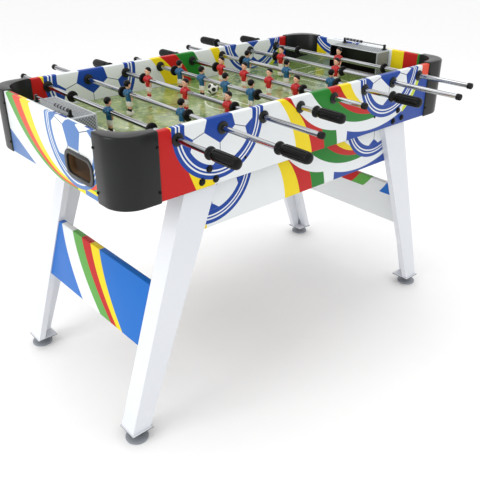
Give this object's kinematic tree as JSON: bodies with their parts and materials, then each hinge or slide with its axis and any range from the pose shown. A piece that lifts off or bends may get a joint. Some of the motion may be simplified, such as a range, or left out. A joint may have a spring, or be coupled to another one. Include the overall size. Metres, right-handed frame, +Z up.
{
  "type": "foosball table",
  "caption": "Table football game: printed cabinet on splayed legs, sliding and turning rods with players, goals, ball returns and levelling feet.",
  "frame": {"origin": "on the floor, under the middle of the cabinet", "axes": "+X along the table's length, +Y across it to the back panel, +Z up"},
  "size_m": [1.217, 1.123, 0.8154],
  "materials": {
    "printed_board": "MDF wrapped in a printed colour foil, satin",
    "white_board": "MDF wrapped in white foil, satin",
    "field_print": "thin board with a printed green pitch, glossy varnish",
    "goal_print": "grey moulding with a printed net",
    "black_plastic": "moulded, fine satin texture",
    "bead_plastic": "small moulded beads",
    "grey_plastic": "moulded levelling foot",
    "chrome": "chromed steel tube",
    "grip_plastic": "moulded ribbed grip",
    "rubber": "soft bumper ring",
    "ball_plastic": "hard white ball with dark spots",
    "player_blue": "blue team figure",
    "player_red": "red team figure",
    "screw_steel": "zinc-plated screws and bolts",
    "foot_plate": "pressed steel corner plate"
  },
  "bodies": {
    "cabinet": {"front_panel": "printed_board", "back_panel": "printed_board", "left_end_panel": "printed_board", "right_end_panel": "printed_board", "end_stretcher_left": "printed_board", "end_stretcher_right": "printed_board", "lower_rail_front": "printed_board", "lower_rail_back": "printed_board", "playfield": "field_print", "goal_left": "goal_print", "ball_return_left": "black_plastic", "goal_right": "goal_print", "ball_return_right": "black_plastic", "corner_cap_front_left": "black_plastic", "leg_front_left": "white_board", "corner_cap_front_right": "black_plastic", "leg_front_right": "white_board", "corner_cap_back_left": "black_plastic", "leg_back_left": "white_board", "corner_cap_back_right": "black_plastic", "leg_back_right": "white_board"},
    "rod_1_slider": {"rod_1_bumper_front": "rubber", "rod_1_bumper_back": "rubber"},
    "rod_1": {"rod_1_players": "chrome", "rod_1_handle": "grip_plastic"},
    "rod_2_slider": {"rod_2_bumper_front": "rubber", "rod_2_bumper_back": "rubber"},
    "rod_2": {"rod_2_players": "chrome", "rod_2_handle": "grip_plastic"},
    "rod_3_slider": {"rod_3_bumper_front": "rubber", "rod_3_bumper_back": "rubber"},
    "rod_3": {"rod_3_players": "chrome", "rod_3_handle": "grip_plastic"},
    "rod_4_slider": {"rod_4_bumper_front": "rubber", "rod_4_bumper_back": "rubber"},
    "rod_4": {"rod_4_players": "chrome", "rod_4_handle": "grip_plastic"},
    "rod_5_slider": {"rod_5_bumper_front": "rubber", "rod_5_bumper_back": "rubber"},
    "rod_5": {"rod_5_players": "chrome", "rod_5_handle": "grip_plastic"},
    "rod_6_slider": {"rod_6_bumper_front": "rubber", "rod_6_bumper_back": "rubber"},
    "rod_6": {"rod_6_players": "chrome", "rod_6_handle": "grip_plastic"},
    "rod_7_slider": {"rod_7_bumper_front": "rubber", "rod_7_bumper_back": "rubber"},
    "rod_7": {"rod_7_players": "chrome", "rod_7_handle": "grip_plastic"},
    "rod_8_slider": {"rod_8_bumper_front": "rubber", "rod_8_bumper_back": "rubber"},
    "rod_8": {"rod_8_players": "chrome", "rod_8_handle": "grip_plastic"},
    "foot_front_left": {"foot_front_left": "grey_plastic"},
    "foot_front_right": {"foot_front_right": "grey_plastic"},
    "foot_back_left": {"foot_back_left": "grey_plastic"},
    "foot_back_right": {"foot_back_right": "grey_plastic"},
    "score_beads_left": {"score_beads_left": "bead_plastic"},
    "score_beads_right": {"score_beads_right": "bead_plastic"},
    "ball": {"ball": "ball_plastic"}
  },
  "joints": [
    {"name": "rod_1_slide", "type": "slide", "parent": "cabinet", "child": "rod_1_slider", "axis": [0, 1, 0], "range_m": [-0.069, 0.1]},
    {"name": "rod_1_spin", "type": "hinge", "parent": "rod_1_slider", "child": "rod_1", "pos_m": [-0.43365, -0.029, 0.774], "axis": [0, 1, 0], "continuous": true},
    {"name": "rod_2_slide", "type": "slide", "parent": "cabinet", "child": "rod_2_slider", "axis": [0, 1, 0], "range_m": [-0.099, 0.168]},
    {"name": "rod_2_spin", "type": "hinge", "parent": "rod_2_slider", "child": "rod_2", "pos_m": [-0.30975, -0.037, 0.774], "axis": [0, 1, 0], "continuous": true},
    {"name": "rod_3_slide", "type": "slide", "parent": "cabinet", "child": "rod_3_slider", "axis": [0, 1, 0], "range_m": [-0.067, 0.084]},
    {"name": "rod_3_spin", "type": "hinge", "parent": "rod_3_slider", "child": "rod_3", "pos_m": [-0.18585, -0.004, 0.774], "axis": [0, 1, 0], "continuous": true},
    {"name": "rod_4_slide", "type": "slide", "parent": "cabinet", "child": "rod_4_slider", "axis": [0, 1, 0], "range_m": [-0.105, 0.042]},
    {"name": "rod_4_spin", "type": "hinge", "parent": "rod_4_slider", "child": "rod_4", "pos_m": [-0.06195, 0.031, 0.774], "axis": [0, 1, 0], "continuous": true},
    {"name": "rod_5_slide", "type": "slide", "parent": "cabinet", "child": "rod_5_slider", "axis": [0, 1, 0], "range_m": [-0.06, 0.087]},
    {"name": "rod_5_spin", "type": "hinge", "parent": "rod_5_slider", "child": "rod_5", "pos_m": [0.06195, -0.013, 0.774], "axis": [0, 1, 0], "continuous": true},
    {"name": "rod_6_slide", "type": "slide", "parent": "cabinet", "child": "rod_6_slider", "axis": [0, 1, 0], "range_m": [-0.069, 0.082]},
    {"name": "rod_6_spin", "type": "hinge", "parent": "rod_6_slider", "child": "rod_6", "pos_m": [0.18585, -0.011, 0.774], "axis": [0, 1, 0], "continuous": true},
    {"name": "rod_7_slide", "type": "slide", "parent": "cabinet", "child": "rod_7_slider", "axis": [0, 1, 0], "range_m": [-0.151, 0.116]},
    {"name": "rod_7_spin", "type": "hinge", "parent": "rod_7_slider", "child": "rod_7", "pos_m": [0.30975, 0.02, 0.774], "axis": [0, 1, 0], "continuous": true},
    {"name": "rod_8_slide", "type": "slide", "parent": "cabinet", "child": "rod_8_slider", "axis": [0, 1, 0], "range_m": [-0.071, 0.098]},
    {"name": "rod_8_spin", "type": "hinge", "parent": "rod_8_slider", "child": "rod_8", "pos_m": [0.43365, 0, 0.774], "axis": [0, 1, 0], "continuous": true},
    {"name": "foot_front_left_height", "type": "slide", "parent": "cabinet", "child": "foot_front_left", "axis": [0, 0, -1], "range_m": [0, 0.012]},
    {"name": "foot_front_right_height", "type": "slide", "parent": "cabinet", "child": "foot_front_right", "axis": [0, 0, -1], "range_m": [0, 0.012]},
    {"name": "foot_back_left_height", "type": "slide", "parent": "cabinet", "child": "foot_back_left", "axis": [0, 0, -1], "range_m": [0, 0.012]},
    {"name": "foot_back_right_height", "type": "slide", "parent": "cabinet", "child": "foot_back_right", "axis": [0, 0, -1], "range_m": [0, 0.012]},
    {"name": "score_beads_left_slide", "type": "slide", "parent": "cabinet", "child": "score_beads_left", "axis": [0, 1, 0], "range_m": [0, 0.086]},
    {"name": "score_beads_right_slide", "type": "slide", "parent": "cabinet", "child": "score_beads_right", "axis": [0, 1, 0], "range_m": [-0.086, 0]},
    {"name": "ball_roll", "type": "slide", "parent": "cabinet", "child": "ball", "axis": [0, 1, 0], "range_m": [-0.38, 0.16]}
  ]
}
